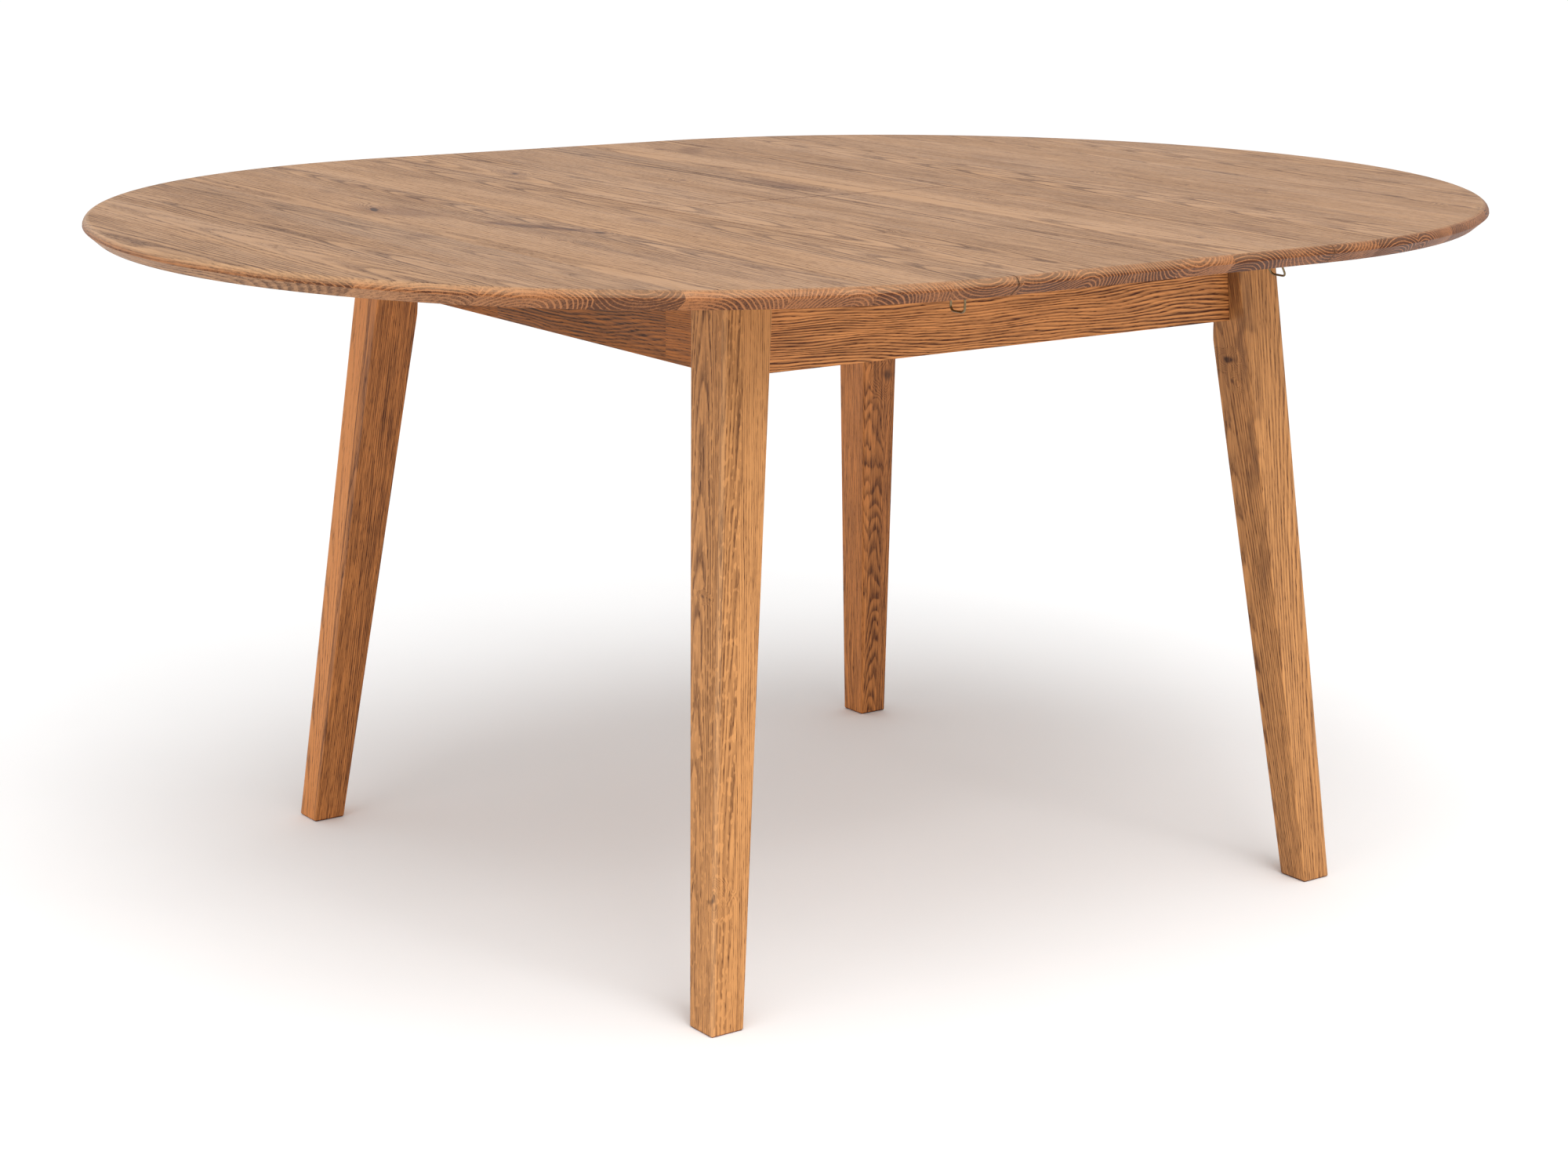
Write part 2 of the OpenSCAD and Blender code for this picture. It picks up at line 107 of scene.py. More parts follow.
def oak_group():
    """Solid oak in three dimensions: growth rings about a pith line, pores, fibres, flecks and blotches.

    Point is (across, depth, along the grain) in metres from the stave's middle. Pith is where the tree's
    middle ran in that section, and in z how the rings narrow along the stave. Knot pushes the rings out
    round a knot, and Dark darkens the wood with staining, dark joints and painted shade. Wild is how far
    the rings wander, Rate how many there are to a metre, Figure how dark they are, Ray how many pale
    flecks there are, Painted_side_shade how far the faces that don't face up are painted warmer and darker
    as painted shade, and Wear_and_highlight how far handling has worn the surface pale and smooth, the
    paleness partly a painted highlight."""
    tree, b, i, o = group(
        "oak",
        [("Point", "Vector"), ("Pith", "Vector"), ("Seed", "Float"), ("Tone", "Float"), ("Knot", "Float"),
         ("Dark", "Float"), ("Wild", "Float"), ("Rate", "Float"), ("Figure", "Float"), ("Ray", "Float"),
         ("End", "Float"), ("Painted_side_shade", "Float"), ("Wear_and_highlight", "Float"), ("Light", "Color"), ("Deep", "Color")],
        [("Color", "Color"), ("Roughness", "Float"), ("Height", "Float")])
    u, v, w = b.split(i["Point"])
    pith_u, pith_v, taper = b.split(i["Pith"])
    shift = b.vec("SCALE", b.join(1.7, 2.9, 4.1))
    b.tree.links.new(i["Seed"], shift.node.inputs["Scale"])
    here = b.vec("ADD", i["Point"], shift)
    # the rings wander slowly along the stave, and ripple a little
    slow = b.vec("MULTIPLY", here, (1, 1, 0.14))
    drift = b.math("MULTIPLY", b.math("SUBTRACT", b.noise(slow, 7, 1), 0.5), i["Wild"])
    wave = b.noise(b.vec("MULTIPLY", here, (1, 1, 0.2)), 32, 2)
    wave = b.math("MULTIPLY", b.math("SUBTRACT", wave, 0.5), b.math("MULTIPLY", i["Wild"], 0.2))
    # r is the distance from the pith; each ring starts sharply along it and fades
    r = b.vec("LENGTH", b.join(b.math("SUBTRACT", u, pith_u), b.math("SUBTRACT", v, pith_v), 0.0))
    r = b.math("ADD", b.math("MULTIPLY_ADD", w, taper, r), b.math("ADD", drift, wave))
    r = b.math("ADD", r, i["Knot"])
    jitter = b.noise(b.join(r, i["Seed"], 0.0), 55, 1)
    phase = b.math("MULTIPLY_ADD", r, i["Rate"], b.math("MULTIPLY", jitter, 2.0))
    part = b.math("FRACT", phase)
    ring = b.math("MULTIPLY", b.span(part, 0.0, 0.16), b.span(part, 0.16, 0.85, 1, 0))
    # cut across, the rings are thin pale lines on brown
    pale = b.math("MULTIPLY", b.span(part, 0.0, 0.15), b.span(part, 0.15, 0.5, 1, 0))
    brown = b.math("SUBTRACT", 1.0, b.math("ADD", ring, pale))
    ring = b.math("ADD", ring, b.math("MULTIPLY", i["End"], brown))
    # pores and fibres run with the grain
    fine = b.noise(b.vec("MULTIPLY", here, (1, 1, 0.07)), 1300, 1)
    pore = b.math("MULTIPLY", b.span(fine, 0.52, 0.68), b.math("MULTIPLY_ADD", ring, 0.8, 0.2))
    fibre = b.noise(b.vec("MULTIPLY", here, (1, 1, 0.03)), 420, 3, 0.7)
    fleck = b.noise(b.vec("MULTIPLY", here, (1, 1, 0.4)), 240, 1)
    blotch = b.noise(slow, 18, 3, 0.6)
    cloud = b.noise(slow, 5, 2)
    fade = b.span(b.noise(slow, 13, 2), 0.3, 0.7, 0.5, 1.1)
    fade = b.math("MULTIPLY", fade, b.math("MULTIPLY_ADD", i["End"], 0.8, i["Figure"]))
    # deep is the share of the darker colour
    deep = b.math("MULTIPLY_ADD", ring, fade, 0.14)
    deep = b.math("ADD", deep, b.math("MULTIPLY", b.math("SUBTRACT", fibre, 0.5), 1.9))
    deep = b.math("ADD", deep, b.math("MULTIPLY", b.math("SUBTRACT", blotch, 0.5), 0.45))
    deep = b.math("ADD", deep, b.math("MULTIPLY", pore, 0.5))
    deep = b.math("SUBTRACT", deep, b.math("MULTIPLY", b.span(fleck, 0.56, 0.64), i["Ray"]))
    deep = b.math("SUBTRACT", deep, i["Tone"], clamp=True)
    colour = b.mix(deep, i["Light"], i["Deep"])
    # clouds of greyer wood, oil that turns the end grain warmer, sides painted warmer and darker as
    # painted shade, dark marks of staining and painted shade, and handled places paled, partly as a
    # painted highlight
    grey = b.math("MULTIPLY", b.span(cloud, 0.5, 0.75), 0.15)
    colour = b.mix(grey, colour, linear((132, 104, 80)))
    end_oil_and_side_shade = b.math("MAXIMUM", b.math("MULTIPLY", i["End"], 0.8), i["Painted_side_shade"])
    colour = b.mix(end_oil_and_side_shade, colour, linear((232, 186, 140)), "MULTIPLY")
    dark = b.math("MULTIPLY", i["Dark"], b.math("MULTIPLY_ADD", fibre, 1.3, 0.2), clamp=True)
    stain_and_shade_colour = b.mix(b.span(dark, 0.78, 1.1), linear((102, 64, 38)), linear((46, 22, 6)))
    colour = b.mix(dark, colour, stain_and_shade_colour)
    rubbed_and_highlight = b.math("MULTIPLY", i["Wear_and_highlight"], b.span(blotch, 0.3, 0.6, 0.5, 1.0))
    colour = b.mix(b.math("MULTIPLY", rubbed_and_highlight, 0.4), colour, linear((226, 182, 138)))
    b.tree.links.new(colour, o["Color"])
    rough = b.math("ADD", b.span(blotch, 0.3, 0.7, 0.46, 0.56), b.math("MULTIPLY", pore, 0.15))
    rough = b.math("MULTIPLY_ADD", rubbed_and_highlight, -0.25, rough)
    b.tree.links.new(rough, o["Roughness"])
    height = b.math("MULTIPLY_ADD", pore, -0.6, b.math("MULTIPLY", fibre, 0.5))
    height = b.math("MULTIPLY_ADD", ring, -0.25, height)
    b.tree.links.new(height, o["Height"])
    return tree


OAK = oak_group()
LIGHT = linear((205, 144, 86))
DEEP = linear((80, 40, 15))
# the width of the range that a stave's pith may lie in, in metres
PITH_SPAN = 0.3
# how many times a knot's own size the rings are pushed out round it, and how far
KNOT_REACH, KNOT_PUSH = 3.2, 0.014
# how far the outline of a knot or stain wanders, in metres
WOBBLE = (0.014, 0.03, 0.014)
# half of a seam's dark line, and of the soft edge round it, in metres
SEAM_LINE, SEAM_EDGE = 0.0010, 0.0028
# the width of a glue line
GLUE_LINE = 0.0007
# the most that knots, staining, painted shade marks, glue and seams may add up to
DARKEST = 1.3


def spots(b, point, marks):
    """Adds up soft ellipsoids: (x, y, z, half sizes, turn about z in degrees, strength)."""
    total = None
    wobble = b.put("TexNoise", {"Vector": point, "Scale": 38.0, "Detail": 2.0}).outputs["Color"]
    wobble = b.vec("MULTIPLY", b.vec("SUBTRACT", wobble, (0.5, 0.5, 0.5)), WOBBLE)
    place = b.vec("ADD", point, wobble)
    for x, y, z, sx, sy, sz, turn, strength in marks:
        d = b.vec("SUBTRACT", place, (x, y, z))
        if turn:
            values = {"Vector": d, "Angle": math.radians(-turn)}
            d = b.put("VectorRotate", values, rotation_type="Z_AXIS").outputs[0]
        d = b.vec("LENGTH", b.vec("DIVIDE", d, (sx, sy, sz)))
        one = b.math("MULTIPLY", b.span(d, 0.3, 1, 1, 0), strength)
        total = one if total is None else b.math("ADD", total, one)
    return total


def oak(name, along, across, staves, seed, core=0.0, tone=0.0, lean=(0, 0), knots=(), stains_and_shade=(),
        joints=(), seams=(), wild=0.02, rate=440.0, figure=0.5, rays=(), ends=(), wear_and_highlight=None,
        contrast=0.42, light=LIGHT, deep=DEEP, glue=0.0):
    """An oak material. along is the grain's axis, across the one the staves are laid out on, and core
    the middle of the thickness on the third. staves lists, in metres along the second axis, where a
    stave starts, its tone (0 dark to 1 light) and its pith; a pith left out is drawn by lot. lean is
    how far the grain leans in x and y for each metre up. joints lists where a board is jointed end to
    end along the grain, with the tone added after it, rays the staves' flecks, ends the tones of
    their end grain, and seams the dark arrises: (axis, where on it, from and to on the other,
    strength). With ends, the faces that don't face up are also painted warmer and darker as painted
    shade. stains_and_shade lists dark marks, from staining and painted shade alike.
    wear_and_highlight is a function of the nodes, the place and the normal that says how far handling
    has worn the surface pale, the paleness partly a painted highlight, and glue how dark the lines
    between the staves are."""
    material = bpy.data.materials.new(name)
    material.use_nodes = True
    b = Build(material.node_tree)
    shader = material.node_tree.nodes["Principled BSDF"]
    coords = b.put("TexCoord").outputs
    point = coords["Object"]
    xyz = dict(zip("xyz", b.split(point)))
    if any(lean):
        xyz["x"] = b.math("MULTIPLY_ADD", xyz["z"], lean[0], xyz["x"])
        xyz["y"] = b.math("MULTIPLY_ADD", xyz["z"], lean[1], xyz["y"])
    depth = ({"x", "y", "z"} - {along, across}).pop()
    edges = [s[0] for s in staves] + [staves[-1][0] + 0.08]
    low, high = edges[0] - 0.1, edges[-1] + 0.1
    at = xyz[across]

    def ramp(values, at):
        return b.steps(at, low, high, [(low, values[0])] + list(zip(edges[1:], values[1:])))

    tones = [s[1] for s in staves]
    level = ramp(tones, at)
    centre = ramp([((a + c) / 2 - low) / (high - low) for a, c in zip(edges, edges[1:])], at)
    middle = b.math("MULTIPLY_ADD", centre, high - low, low)
    number = b.math("MULTIPLY_ADD", centre, 40.0, seed)
    # the pith goes through a colour ramp as a share of PITH_SPAN either side of 0
    luck = random.Random(seed)
    drawn = [(luck.uniform(-0.05, 0.05), luck.choice((-1, 1)) * luck.uniform(0.015, 0.055),
              luck.uniform(-0.04, 0.04)) for _ in staves]
    piths = [s[2:] or p for s, p in zip(staves, drawn)]
    share = ramp([tuple(0.5 + c / PITH_SPAN for c in p) + (1,) for p in piths], at)
    pith = b.vec("MULTIPLY", b.vec("SUBTRACT", share, (0.5, 0.5, 0.5)), (PITH_SPAN,) * 3)
    bias = b.math("MULTIPLY_ADD", b.math("SUBTRACT", level, 0.5), contrast, tone)
    normal = b.split(coords["Normal"])
    end = b.span(b.math("ABSOLUTE", normal["xyz".index(along)]), 0.12, 0.55)
    values = {}
    if ends:
        # end grain soaks up the oil unevenly, so it has tones of its own
        cut = b.math("MULTIPLY_ADD", ramp(ends, at), 0.9, -0.13)
        bias = b.math("ADD", bias, b.math("MULTIPLY", end, b.math("SUBTRACT", cut, bias)))
        # painted shade: the faces that don't face up are made warmer and darker than the upper face, which
        # the sheen would pale
        upright = b.math("ABSOLUTE", normal[2])
        values["Painted_side_shade"] = b.span(upright, 0.35, 0.95, 0.7, 0)
    if joints:
        stops = [(place, change + 0.5) for place, change in joints]
        start, stop = stops[0][0] - 0.5, stops[-1][0] + 0.5
        after = b.steps(xyz[along], start, stop, [(start, 0.5)] + stops)
        bias = b.math("ADD", bias, b.math("SUBTRACT", after, 0.5))
        number = b.math("MULTIPLY_ADD", after, 17.0, number)
    local = b.join(b.math("SUBTRACT", at, middle), b.math("SUBTRACT", xyz[depth], core), xyz[along])
    values |= {"Point": local, "Pith": pith, "Seed": number, "Tone": bias, "Wild": wild, "Rate": rate,
              "Figure": figure, "Light": light, "Deep": deep, "End": end}
    if rays:
        values["Ray"] = ramp(rays, at)
    if wear_and_highlight:
        values["Wear_and_highlight"] = wear_and_highlight(b, xyz, normal)
    if knots:
        around = [k[:3] + tuple(size * KNOT_REACH for size in k[3:6]) + (k[6], KNOT_PUSH) for k in knots]
        values["Knot"] = spots(b, point, around)
    dark = spots(b, point, list(knots) + list(stains_and_shade)) if knots or stains_and_shade else None
    # a glue line is where the tone changes from one stave to the next
    if glue:
        other = ramp(tones, b.math("ADD", at, GLUE_LINE))
        line = b.math("GREATER_THAN", b.math("ABSOLUTE", b.math("SUBTRACT", other, level)), 0.01)
        line = b.math("MULTIPLY", line, glue)
        dark = line if dark is None else b.math("ADD", dark, line)
    for axis, place, start, stop, strength in seams:
        away = b.math("ABSOLUTE", b.math("SUBTRACT", xyz[axis], place))
        line = b.span(away, SEAM_LINE, SEAM_EDGE, strength, 0)
        run = xyz["x" if axis == "y" else "y"]
        begins = b.span(run, start - 0.02, start + 0.02)
        finishes = b.span(run, stop - 0.04, stop + 0.04, 1, 0)
        line = b.math("MULTIPLY", line, b.math("MULTIPLY", begins, finishes))
        dark = line if dark is None else b.math("ADD", dark, line)
    if dark is not None:
        values["Dark"] = b.math("MINIMUM", dark, DARKEST)
    wood = b.tree.nodes.new("ShaderNodeGroup")
    wood.node_tree = OAK
    for key, value in values.items():
        if isinstance(value, bpy.types.NodeSocket):
            b.tree.links.new(value, wood.inputs[key])
        else:
            wood.inputs[key].default_value = value
    b.tree.links.new(wood.outputs["Color"], shader.inputs["Base Color"])
    b.tree.links.new(wood.outputs["Roughness"], shader.inputs["Roughness"])
    bump = b.put("Bump", {"Strength": 0.5, "Distance": 0.0004, "Height": wood.outputs["Height"]})
    b.tree.links.new(bump.outputs[0], shader.inputs["Normal"])
    shader.inputs["Specular IOR Level"].default_value = 0.25
    return material


def metal(name, colour, rough, dust):
    """Plated or drawn metal with faint mottling."""
    material = bpy.data.materials.new(name)
    material.use_nodes = True
    b = Build(material.node_tree)
    shader = material.node_tree.nodes["Principled BSDF"]
    point = b.put("TexCoord").outputs["Object"]
    spot = b.noise(point, 90, 3, 0.6)
    streak = b.noise(b.vec("MULTIPLY", point, (0.1, 1, 1)), 900, 1)
    both = b.math("MULTIPLY_ADD", streak, 0.4, b.math("MULTIPLY", spot, 0.6))
    dark = tuple(c * 0.72 for c in linear(colour)[:3]) + (1,)
    b.tree.links.new(b.mix(b.span(both, 0.35, 0.65), dark, linear(colour)), shader.inputs["Base Color"])
    b.tree.links.new(b.span(both, 0.3, 0.7, rough + dust, rough, False), shader.inputs["Roughness"])
    shader.inputs["Metallic"].default_value = 1
    return material


def felt(name, colour):
    """Pressed fibres with a faint sheen."""
    material = bpy.data.materials.new(name)
    material.use_nodes = True
    b = Build(material.node_tree)
    shader = material.node_tree.nodes["Principled BSDF"]
    point = b.put("TexCoord").outputs["Object"]
    tuft = b.noise(point, 900, 3, 0.7)
    dark = tuple(c * 0.5 for c in linear(colour)[:3]) + (1,)
    b.tree.links.new(b.mix(tuft, dark, linear(colour)), shader.inputs["Base Color"])
    bump = b.put("Bump", {"Strength": 0.6, "Distance": 0.0006, "Height": tuft})
    b.tree.links.new(bump.outputs[0], shader.inputs["Normal"])
    shader.inputs["Roughness"].default_value = 0.95
    shader.inputs["Sheen Weight"].default_value = 0.3
    return material


# ------------------------------------------------------------------ materials

def rim_wear_and_highlight(b, xyz, normal):
    """Hands and sleeves rub the round-over along the rim pale, most at the left end; the paleness on the
    upward-curving round-over is partly a painted highlight.
    """
    over = b.math("MULTIPLY", b.span(normal[2], 0.2, 0.6), b.span(normal[2], 0.88, 0.99, 1, 0))
    return b.math("MULTIPLY", over, b.span(xyz["x"], -0.4, 0.45, 0.65, 0.1))


def corner_wear_and_highlight(b, xyz, normal):
    """Rubbing on a leg's outer corner, where the leaning faces meet, whichever way they face; the paleness
    along this arris is partly a painted highlight.
    """
    both = b.math("ADD", b.math("ABSOLUTE", xyz["x"]), b.math("ABSOLUTE", xyz["y"]))
    return b.span(both, 0.8520, 0.8575, 0, 0.5)


# Staves of the top, from the left end to the right end
TOP = [(-0.80, .5), (-0.735, .62), (-0.66, .42), (-0.588, .34), (-0.519, .62), (-0.437, .34),
       (-0.357, .72), (-0.282, .48), (-0.206, .66), (-0.137, .45), (-0.072, .58), (-0.004, .36),
       (0.063, .80), (0.128, .52), (0.206, .40), (0.268, .58), (0.343, .44), (0.418, .60),
       (0.493, .48), (0.575, .56), (0.65, .46), (0.73, .55)]
# the tones of the same staves' end grain along the rim
TOP_ENDS = [.58, .82, .85, .05, .85, .60, .45, .65, .45, .60, .70, .66, .36, .28, .42, .36, .48, .38,
            .46, .34, .42, .32]
# x, y, z, half sizes, turn about z, strength: knots and the rings round them
TOP_KNOTS = [
    (-0.467, 0.145, .75, .006, .022, .1, -20, .8),
    (-0.367, -0.138, .75, .006, .014, .1, 10, .95),
    (-0.427, -0.166, .75, .004, .010, .1, 30, .8),
    (-0.162, 0.362, .75, .007, .014, .1, 0, .9),
    (-0.029, 0.205, .75, .005, .010, .1, 0, .8),
    (0.053, 0.05, .75, .006, .010, .1, 0, .75),
    (0.138, 0.505, .75, .009, .016, .1, 0, .8),
    (0.135, 0.115, .75, .004, .007, .1, 0, .75),
    (0.158, -0.115, .75, .004, .009, .1, 0, .8),
    (0.130, -0.485, .75, .005, .009, .1, 0, .8),
    (-0.104, -0.295, .75, .004, .007, .1, 0, .7),
    (-0.157, -0.397, .75, .004, .007, .1, 0, .7),
    (0.478, -0.22, .75, .005, .012, .1, 0, .7),
    (0.568, -0.44, .75, .007, .016, .1, 0, .8),
    (0.518, 0.04, .75, .005, .010, .1, 20, .7),
    (0.448, -0.05, .75, .004, .040, .1, 0, .45),
    (0.588, 0.325, .75, .007, .008, .1, 0, .65),
]
TOP_STAINS = [
    (-0.394, -0.066, .75, .020, .105, .1, 23, 1.05),
    (-0.455, 0.12, .75, .040, .095, .1, 12, .6),
    (-0.272, -0.075, .75, .016, .035, .1, 0, .43),
    (-0.532, -0.07, .75, .020, .030, .1, -15, .38),
    (-0.385, 0.19, .75, .025, .070, .1, 0, .32),
    (-0.382, 0.34, .75, .022, .060, .1, 0, .29),
    (0.042, 0.10, .75, .020, .095, .1, 0, .70),
    (0.165, 0.47, .75, .022, .060, .1, -30, .58),
    (-0.162, 0.37, .75, .022, .050, .1, 0, .36),
    (-0.375, -0.44, .75, .010, .060, .1, 0, .32),
    (0.228, -0.45, .75, .022, .070, .1, 0, .32),
    (0.328, -0.47, .75, .018, .060, .1, 0, .35),
    (0.45, 0.22, .75, .040, .100, .1, 0, .20),
]
# the leaf's fold line and the two lines where it meets the halves
SEAM_X = 0.2065
SEAMS = [("y", 0.0, -0.14, 0.06, .9), ("y", 0.0, 0.04, 0.19, .5), ("x", -SEAM_X, 0.10, 0.62, .75),
         ("x", -SEAM_X, -0.57, 0.10, .4), ("x", -SEAM_X, -0.64, -0.59, 1.6),
         ("x", SEAM_X, -0.57, 0.62, .35), ("x", SEAM_X, -0.64, -0.59, 1.3)]

# the top's light colour is greyer than the legs', partly a painted sheen on its upper face
oak_top = oak("oak_top", "y", "x", TOP, 3, core=0.7455, tone=0.02, knots=TOP_KNOTS, stains_and_shade=TOP_STAINS,
              seams=SEAMS, ends=TOP_ENDS, wear_and_highlight=rim_wear_and_highlight, rate=300.0, figure=0.46, contrast=0.6, glue=0.35,
              light=linear((180, 137, 98)), deep=linear((84, 52, 30)))
# how far the legs' outer faces lean out in x and y over their height, in millimetres
LEAN = (63 / 735, 75 / 735)
DARK_OAK = dict(light=linear((212, 136, 72)), deep=linear((72, 32, 9)))
LEGS = {
    "leg_near_left": dict(
        across="x", staves=[(-0.43, .50, .014, .006, .02), (-0.4055, .78, -.07, 0, .02)], seed=11,
        figure=0.45, rate=480.0, wild=0.03, rays=[.34, .08],
        knots=[(-0.416, -0.411, .135, .012, .004, .008, 0, 1.0),
               (-0.3915, -0.3576, .426, .005, .004, .0025, 0, 1.0),
               (-0.3915, -0.367, .426, .005, .003, .002, 0, .9)]),
    "leg_near_right": dict(
        across="y", staves=[(-0.43, .52, .05, .03, .03), (-0.412, .4, .04, .03, .03),
                            (-0.395, .28, -.03, .03, .02)],
        seed=23, figure=0.42,
        knots=[(0.323, -0.339, .592, .02, .010, .005, 0, 1.0),
               (0.325, -0.345, .567, .02, .005, .004, 0, .9)],
        stains_and_shade=[(0.322, -0.360, .62, .014, .011, .10, 0, .7),
                (0.334, -0.370, .49, .014, .010, .11, 0, .6),
                (0.347, -0.383, .36, .012, .008, .10, 0, .45),
                (0.320, -0.335, .58, .010, .020, .05, 0, .3),
                # the last mark darkens the top of the -X face beside the apron's end, under the rim:
                # painted shade
                (0.312, -0.351, .69, .010, .012, .08, 0, .6)]),
    "leg_far_left": dict(
        across="y", staves=[(0.37, .10, 0, -.08, .01), (0.396, 1.2, -.01, -.06, .03)], seed=37,
        knots=[(-0.39, 0.42, .335, .008, .008, .006, 0, .7)], **DARK_OAK),
    "leg_far_right": dict(
        across="x", staves=[(0.355, .58, 0, .03, .03), (0.391, .05, .004, .05, .025),
                            (0.412, -.28, .02, .06, .03)],
        seed=51, wild=0.07, figure=0.42, knots=[(0.375, 0.33, .47, .010, .02, .012, 0, 1.0)],
        **DARK_OAK),
}
SIGN = {"left": -1, "right": 1, "near": -1, "far": 1}
for key, spec in LEGS.items():
    _, y_end, x_end = key.split("_")
    # the outer faces lean in by these amounts for each metre up, so the grain does too
    lean = (LEAN[0] * SIGN[x_end], LEAN[1] * SIGN[y_end])
    core = 0.405 * SIGN[y_end if spec["across"] == "x" else x_end]
    LEGS[key] = oak(key, "z", lean=lean, core=core, wear_and_highlight=corner_wear_and_highlight, **spec)

# the near and far aprons have a bold figure, and the end ones a finer one, darker partly as darker wood
# and partly as painted shade from the top's overhang
APRON = dict(figure=0.8, rate=320.0, wild=0.09)
SUNNY = dict(light=linear((226, 152, 88)), deep=linear((78, 36, 9)))
# the end aprons' colours: darker wood, darkened further by painted shade
FINE_WOOD_AND_PAINTED_SHADE = dict(figure=0.5, rate=430.0, wild=0.06, light=linear((184, 108, 36)), deep=linear((56, 27, 7)))
APRONS = {
    "apron_near": oak("oak_apron_near", "x", "z", [(0.60, .55, -.06, .03, .02)], 71, core=-0.353,
                      stains_and_shade=[(0.13, -0.353, .722, .075, .03, .013, 0, .55),
                              (-0.24, -0.353, .715, .060, .03, .006, 0, .35),
                              # the last mark is painted shade: a darker band along the whole top edge,
                              # under the top's overhang
                              (0.02, -0.353, .742, .60, .03, .034, 0, .45)], **APRON, **SUNNY),
    "apron_far": oak("oak_apron_far", "x", "z", [(0.60, .45, -.05, -.03, .02)], 83, core=0.353,
                     **APRON, **SUNNY),
    "apron_left": oak("oak_apron_left", "y", "z", [(0.60, .10, -.06, .02, .02)], 95, core=-0.36,
                      joints=[(-0.5, .14), (-0.235, -.02), (0.088, .06)], **FINE_WOOD_AND_PAINTED_SHADE),
    "apron_right": oak("oak_apron_right", "y", "z", [(0.60, .30, -.06, -.02, .02)], 107, core=0.36,
                       joints=[(-0.1, .06), (0.22, -.06)], **FINE_WOOD_AND_PAINTED_SHADE),
}
oak_x = oak("oak_rails_x", "x", "y", [(-0.5, .4), (0.0, .5)], 121, core=0.68)
oak_y = oak("oak_rails_y", "y", "x", [(-0.5, .4), (0.0, .5)], 133, core=0.66)
oak_z = oak("oak_blocks", "z", "x", [(-0.5, .5), (0.0, .4)], 147)
steel = metal("zinc_steel", (196, 198, 202), 0.32, 0.2)
wire = metal("bail_wire", (134, 117, 88), 0.16, 0.12)
brass = metal("brass", (205, 172, 104), 0.3, 0.2)
glide = felt("felt", (74, 70, 64))

SLOT = {p["node"]: p["material_slot"] for p in record["subparts"]}
BY_SLOT = {"oak_top": oak_top, "zinc_steel": steel, "wire": wire, "brass": brass, "glide": glide}

for key, obj in NODES.items():
    if key in LEGS:
        material = LEGS[key]
    elif key in APRONS:
        material = APRONS[key]
    elif SLOT[key] == "oak_frame":
        material = oak_y if key == "leaf_rails" else oak_z if key.startswith("corner_block") else oak_x
    elif key.startswith("leaf_batten"):
        material = oak_x
    else:
        material = BY_SLOT[SLOT[key]]
    obj.data.materials.clear()
    obj.data.materials.append(material)

# ------------------------------------------------------------------ eased edges

# how far the wooden pieces' arrises are rounded, in metres, by the start of a piece's name
EASED = {"leg_": 0.0024, "apron_": 0.0014, "corner_block_": 0.001, "bearer_": 0.001,
         "batten_": 0.0015, "leaf_batten": 0.0015, "leaf_rails": 0.001}
# an arris is an outside corner that turns by more than this
ARRIS_TURN = math.radians(40)
# a shorter one, such as at the end of a hole, stays sharp
LONG_ARRIS = 0.015
# split corners nearer to each other than this are one corner
SAME_PLACE = 0.00001


def arris_group():
    """The modifier group that joins the split corners of an imported piece and marks its arrises."""
    group = bpy.data.node_groups.new("arrises", "GeometryNodeTree")
    for side in ("INPUT", "OUTPUT"):
        group.interface.new_socket("Geometry", in_out=side, socket_type="NodeSocketGeometry")
    new, link = group.nodes.new, group.links.new
    source, result = new("NodeGroupInput"), new("NodeGroupOutput")
    joined = new("GeometryNodeMergeByDistance")
    joined.inputs["Distance"].default_value = SAME_PLACE
    angle, ends = new("GeometryNodeInputMeshEdgeAngle"), new("GeometryNodeInputMeshEdgeVertices")
    length = new("ShaderNodeVectorMath")
    length.operation = "DISTANCE"
    link(ends.outputs["Position 1"], length.inputs[0])
    link(ends.outputs["Position 2"], length.inputs[1])

    def compare(value, operation, limit):
        test = new("FunctionNodeCompare")
        test.data_type, test.operation = "FLOAT", operation
        test.inputs["B"].default_value = limit
        link(value, test.inputs["A"])
        return test.outputs["Result"]

    def both(first, operation, second):
        node = new("FunctionNodeBooleanMath")
        node.operation = operation
        link(first, node.inputs[0])
        link(second, node.inputs[1])
        return node.outputs["Boolean"]

    outside = compare(angle.outputs["Signed Angle"], "GREATER_THAN", ARRIS_TURN)
    turned = compare(angle.outputs["Unsigned Angle"], "GREATER_THAN", ARRIS_TURN)
    eased = both(outside, "AND", compare(length.outputs["Value"], "GREATER_THAN", LONG_ARRIS))
    sharp = both(turned, "NIMPLY", eased)
    stages = [source, joined]
    for name, kind, value in (("bevel_weight_edge", "FLOAT", eased), ("sharp_edge", "BOOLEAN", sharp)):
        mark = new("GeometryNodeStoreNamedAttribute")
        mark.data_type, mark.domain = kind, "EDGE"
        mark.inputs["Name"].default_value = name
        link(value, mark.inputs["Value"])
        stages.append(mark)
    stages += [new("GeometryNodeSetShadeSmooth"), result]
    for first, second in zip(stages, stages[1:]):
        link(first.outputs[0], second.inputs[0])
    return group


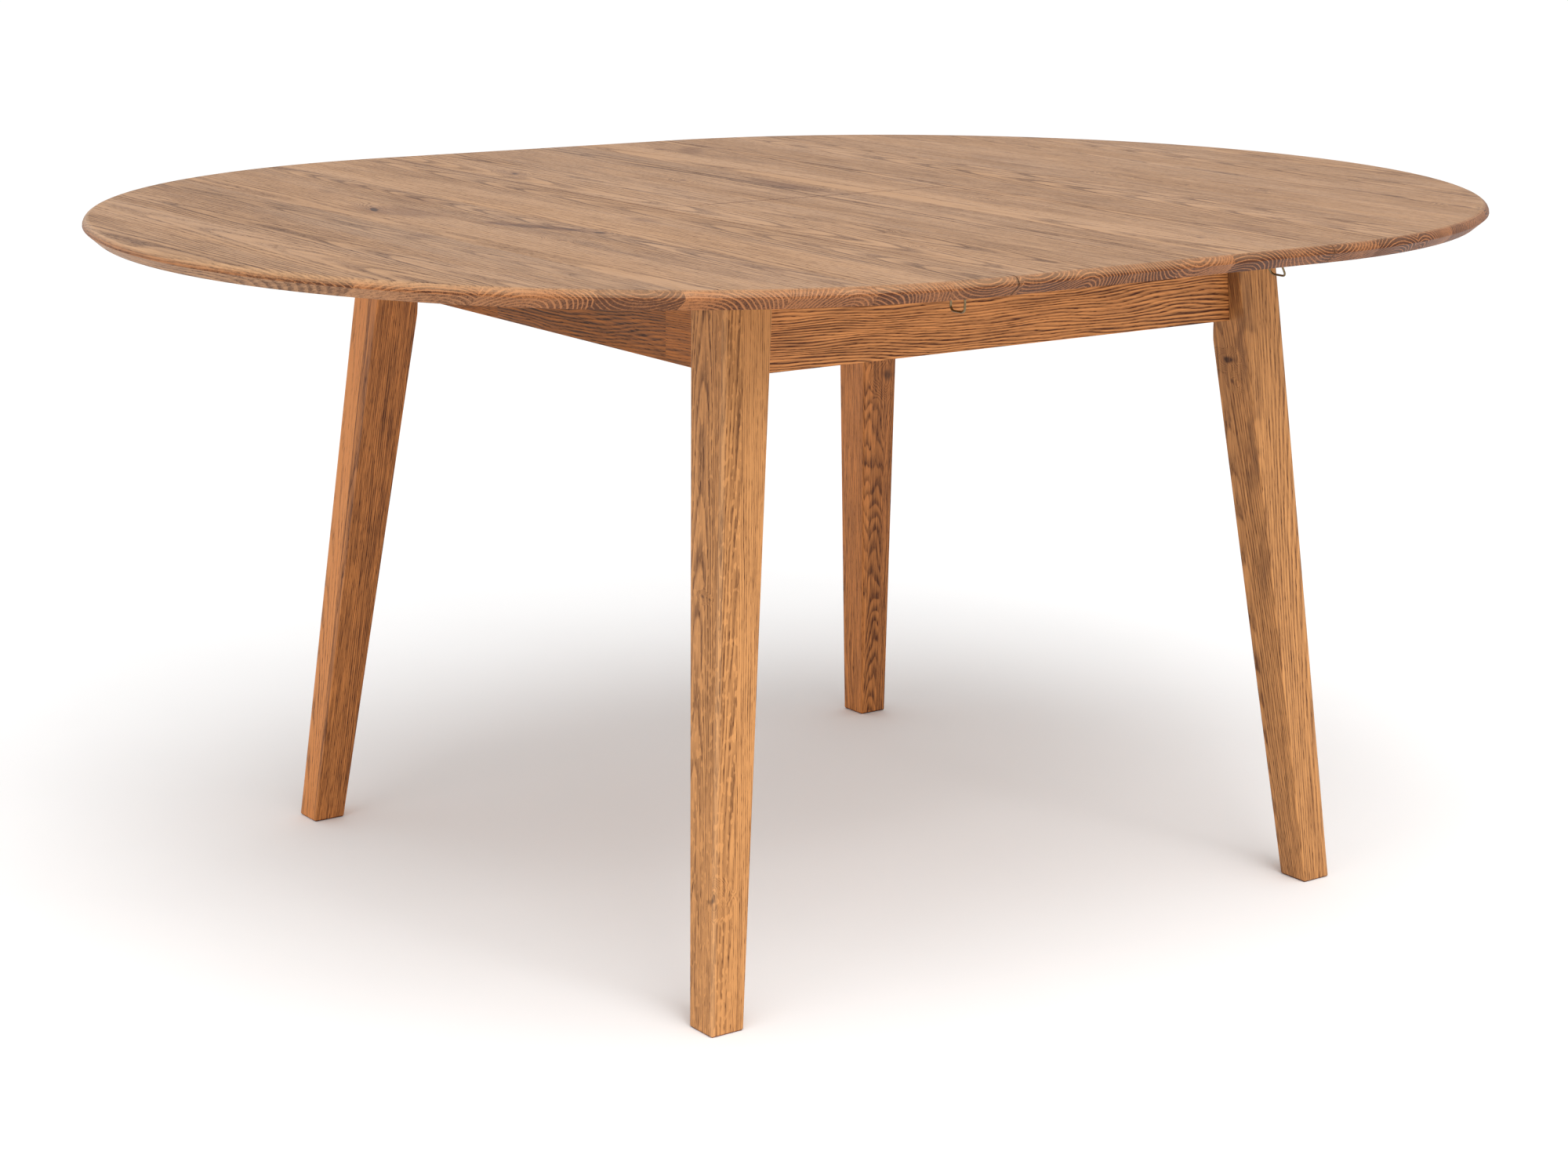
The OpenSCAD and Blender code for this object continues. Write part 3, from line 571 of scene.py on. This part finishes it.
arrises = arris_group()
for key, obj in NODES.items():
    size = next((v for k, v in EASED.items() if key.startswith(k)), None)
    if size and SLOT[key] in ("oak_frame", "oak_top"):
        obj.modifiers.new("arrises", "NODES").node_group = arrises
        bevel = obj.modifiers.new("eased", "BEVEL")
        bevel.width = size
        bevel.segments = 3
        bevel.limit_method = "WEIGHT"
        obj.modifiers.new("shading", "WEIGHTED_NORMAL").keep_sharp = True

# ------------------------------------------------------------------ floor, light, camera

FLOOR_SIZE = 60


def panel(name, size, place, aim, power):
    """A soft light of this size, at place and turned to aim."""
    light = bpy.data.lights.new(name, "AREA")
    light.shape = "RECTANGLE"
    light.size, light.size_y = size
    light.energy = power
    obj = bpy.data.objects.new(name, light)
    obj.location = place
    obj.rotation_euler = (Vector(aim) - Vector(place)).to_track_quat("-Z", "Y").to_euler()
    bpy.context.collection.objects.link(obj)


bpy.ops.mesh.primitive_plane_add(size=FLOOR_SIZE)
floor = bpy.context.object
floor.name = "floor"
paint = bpy.data.materials.new("floor")
paint.use_nodes = True
nodes = Build(paint.node_tree)
shader = paint.node_tree.nodes["Principled BSDF"]
mottle = nodes.noise(nodes.put("TexCoord").outputs["Object"], 3, 2)
pale = nodes.mix(mottle, linear((246, 246, 246)), linear((250, 250, 250)))
paint.node_tree.links.new(pale, shader.inputs["Base Color"])
shader.inputs["Roughness"].default_value = 0.9
floor.data.materials.append(paint)

bpy.context.scene.view_settings.view_transform = "Standard"
world = bpy.data.worlds.new("world")
bpy.context.scene.world = world
world.use_nodes = True
world.node_tree.nodes["Background"].inputs["Color"].default_value = (1, 1, 1, 1)
world.node_tree.nodes["Background"].inputs["Strength"].default_value = 0.78
sun = bpy.data.lights.new("overhead", "SUN")
sun.energy = 1.1
sun.angle = math.radians(50)
overhead = bpy.data.objects.new("overhead", sun)
overhead.rotation_euler = (math.radians(18), math.radians(-8), 0)
bpy.context.collection.objects.link(overhead)
panel("key", (3.0, 2.0), (-0.6, -3.6, 3.2), (0, 0, 0.5), 72)
panel("fill", (2.0, 2.0), (-3.6, -0.8, 2.0), (0, 0, 0.5), 12)

# the photo's viewpoint: the lens on a 36 mm wide sensor, the turns in radians, the eye in metres
LENS_MM, YAW, PITCH, ROLL = 71.59, -0.63419, -0.24206, 0.011279
EYE = Vector((-2.0698, -2.7734, 1.1622))
camera = bpy.data.cameras.new("camera")
camera.lens = LENS_MM
camera.sensor_width = 36
eye = bpy.data.objects.new("camera", camera)
bpy.context.collection.objects.link(eye)
ahead = Vector((-math.sin(YAW) * math.cos(PITCH), math.cos(YAW) * math.cos(PITCH), math.sin(PITCH)))
level = Vector((math.cos(YAW), math.sin(YAW), 0))
over = level.cross(ahead)
right = math.cos(ROLL) * level + math.sin(ROLL) * over
up = math.cos(ROLL) * over - math.sin(ROLL) * level
eye.matrix_world = Matrix.Translation(EYE) @ Matrix((right, up, -ahead)).transposed().to_4x4()
bpy.context.scene.camera = eye
